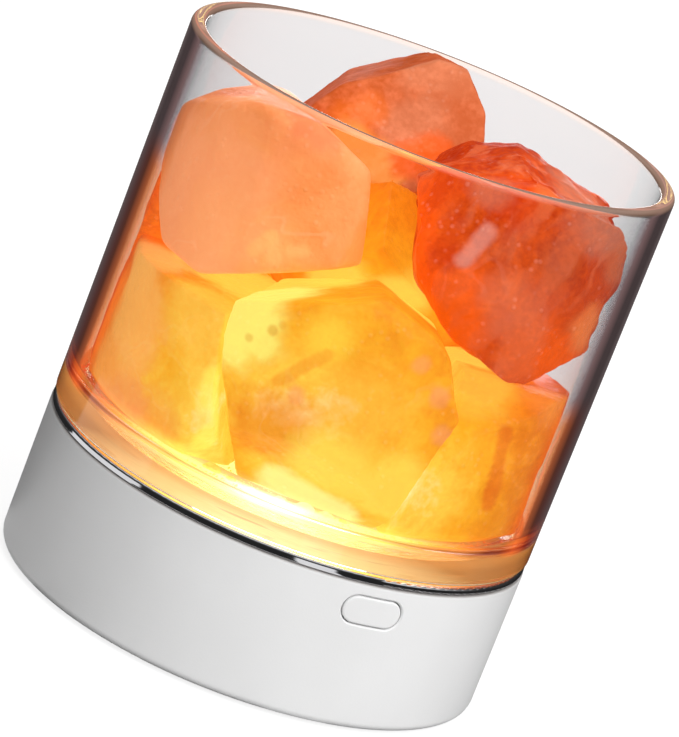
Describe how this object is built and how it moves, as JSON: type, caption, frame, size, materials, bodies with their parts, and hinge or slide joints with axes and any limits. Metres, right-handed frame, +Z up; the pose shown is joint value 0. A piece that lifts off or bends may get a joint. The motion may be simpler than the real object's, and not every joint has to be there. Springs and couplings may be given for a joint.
{
  "type": "usb night light",
  "caption": "Round night light: a clear glass cup of glowing rock-salt lumps on a white base with a bright ring, a push button in front and a supply socket behind.",
  "frame": {"origin": "on the table, below the lamp's centre line, level with the undersides of the rubber feet", "axes": "+Z up along the lamp's centre line, -Y towards the push button, +Y towards the supply socket"},
  "size_m": [0.085, 0.085, 0.0992],
  "materials": {
    "clear_glass": "clear, polished",
    "white_plastic": "satin white moulding",
    "chrome": "polished",
    "pale_salt": "pale salmon rock salt, translucent",
    "orange_salt": "orange rock salt, translucent",
    "red_salt": "red-orange rock salt, translucent",
    "frosted_window": "frosted",
    "adhesive": "milky bonding layer",
    "board": "white solder mask on laminate",
    "led_body": "white moulding",
    "phosphor": "yellow silicone",
    "black_plastic": "black moulding",
    "resistor": "black glaze on ceramic",
    "bare_aluminium": "drawn can",
    "steel": "zinc plated",
    "gold_contact": "gold flash",
    "rubber": "pale grey silicone"
  },
  "bodies": {
    "lamp": {"glass_cup": "clear_glass", "trim_ring": "chrome", "base_housing": "white_plastic", "lower_left_stone": "orange_salt", "lower_front_stone": "orange_salt", "lower_right_stone": "orange_salt", "lower_back_left_stone": "orange_salt", "lower_back_right_stone": "orange_salt", "core_stone": "orange_salt", "wedge_stone": "red_salt", "salt_chips": "pale_salt", "cup_adhesive": "adhesive", "diffuser_window": "frosted_window", "light_board": "board", "led_packages": "led_body", "led_phosphors": "phosphor", "control_chip": "black_plastic", "chip_resistors": "resistor", "filter_capacitor": "bare_aluminium", "switch_body": "black_plastic", "usb_shell": "steel", "usb_tongue": "black_plastic", "usb_contacts": "gold_contact", "board_screws": "steel", "bottom_cover": "white_plastic", "cover_screws": "steel", "rubber_feet": "rubber"},
    "button": {"button_cap": "white_plastic"},
    "plunger": {"switch_plunger": "white_plastic"},
    "top_left_salt": {"top_left_stone": "pale_salt"},
    "top_back_salt": {"top_back_stone": "red_salt"},
    "top_right_salt": {"top_right_stone": "red_salt"}
  },
  "joints": [
    {"name": "button_press", "type": "slide", "parent": "lamp", "child": "button", "axis": [0, 1, 0], "range_m": [0, 0.0004], "stiffness_N_per_m": 800, "springref_m": -0.0005},
    {"name": "plunger_press", "type": "slide", "parent": "lamp", "child": "plunger", "axis": [0, 1, 0], "range_m": [0, 0.00045]},
    {"name": "top_left_lift", "type": "slide", "parent": "lamp", "child": "top_left_salt", "axis": [0, 0, 1], "range_m": [0, 0.07]},
    {"name": "top_back_lift", "type": "slide", "parent": "lamp", "child": "top_back_salt", "axis": [0, 0, 1], "range_m": [0, 0.07]},
    {"name": "top_right_lift", "type": "slide", "parent": "lamp", "child": "top_right_salt", "axis": [0, 0, 1], "range_m": [0, 0.07]}
  ],
  "couplings": [
    {"joint": "plunger_press", "follows": "button_press", "ratio": 1}
  ]
}
